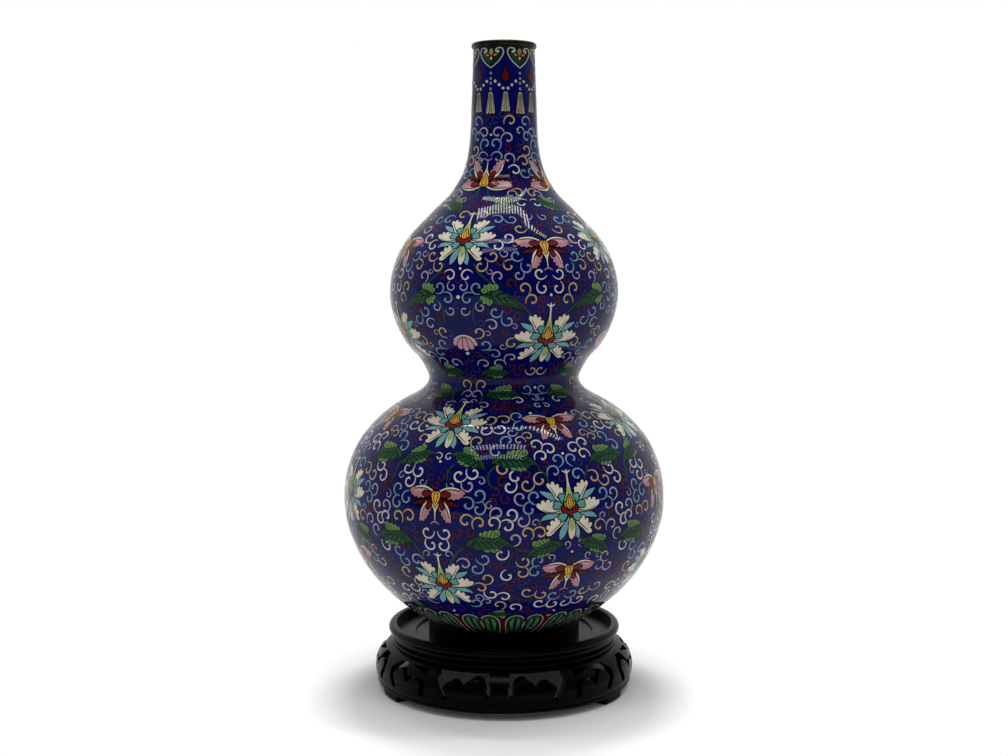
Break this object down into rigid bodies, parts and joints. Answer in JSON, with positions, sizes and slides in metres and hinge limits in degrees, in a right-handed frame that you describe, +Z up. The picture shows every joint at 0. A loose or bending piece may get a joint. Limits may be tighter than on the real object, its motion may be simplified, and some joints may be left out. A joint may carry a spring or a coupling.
{
  "type": "double gourd vase",
  "caption": "Tall double gourd vase of cloisonne enamel on copper, standing loose in a round carved wooden stand with a pierced apron.",
  "frame": {"origin": "centre of the stand's underside, on the surface that it rests on", "axes": "+Z up along the vase's axis, -Y towards the front, +X to the right seen from the front"},
  "size_m": [0.2074, 0.2074, 0.4145],
  "materials": {
    "enamel_coat": "fired and polished cloisonne enamel, deep cobalt ground",
    "lining_enamel": "thin fired counter-enamel",
    "base_enamel": "thin fired counter-enamel",
    "copper_body": "raised sheet copper, oxidised",
    "patinated_rings": "dark patinated copper, worn on the edges",
    "stand_wood": "near-black stained hardwood, satin polish",
    "peg_wood": "bare bamboo"
  },
  "bodies": {
    "stand": {"dish": "stand_wood", "waist_ring": "stand_wood", "apron": "stand_wood", "base_ring": "stand_wood", "foot_right": "stand_wood", "foot_left": "stand_wood", "foot_back": "stand_wood", "tier_pegs": "peg_wood", "foot_pegs": "peg_wood"},
    "vase": {"mouth_ring": "patinated_rings", "enamel_coat": "enamel_coat", "copper_neck": "copper_body", "copper_upper_shoulder": "copper_body", "copper_upper_belly": "copper_body", "copper_lower_shoulder": "copper_body", "copper_lower_belly": "copper_body", "lining_enamel": "lining_enamel", "foot_ring": "patinated_rings", "base_plate": "copper_body", "base_enamel": "base_enamel"}
  },
  "joints": [
    {"name": "vase_lift", "type": "slide", "parent": "stand", "child": "vase", "axis": [0, 0, 1], "range_m": [0, 0.1]}
  ]
}
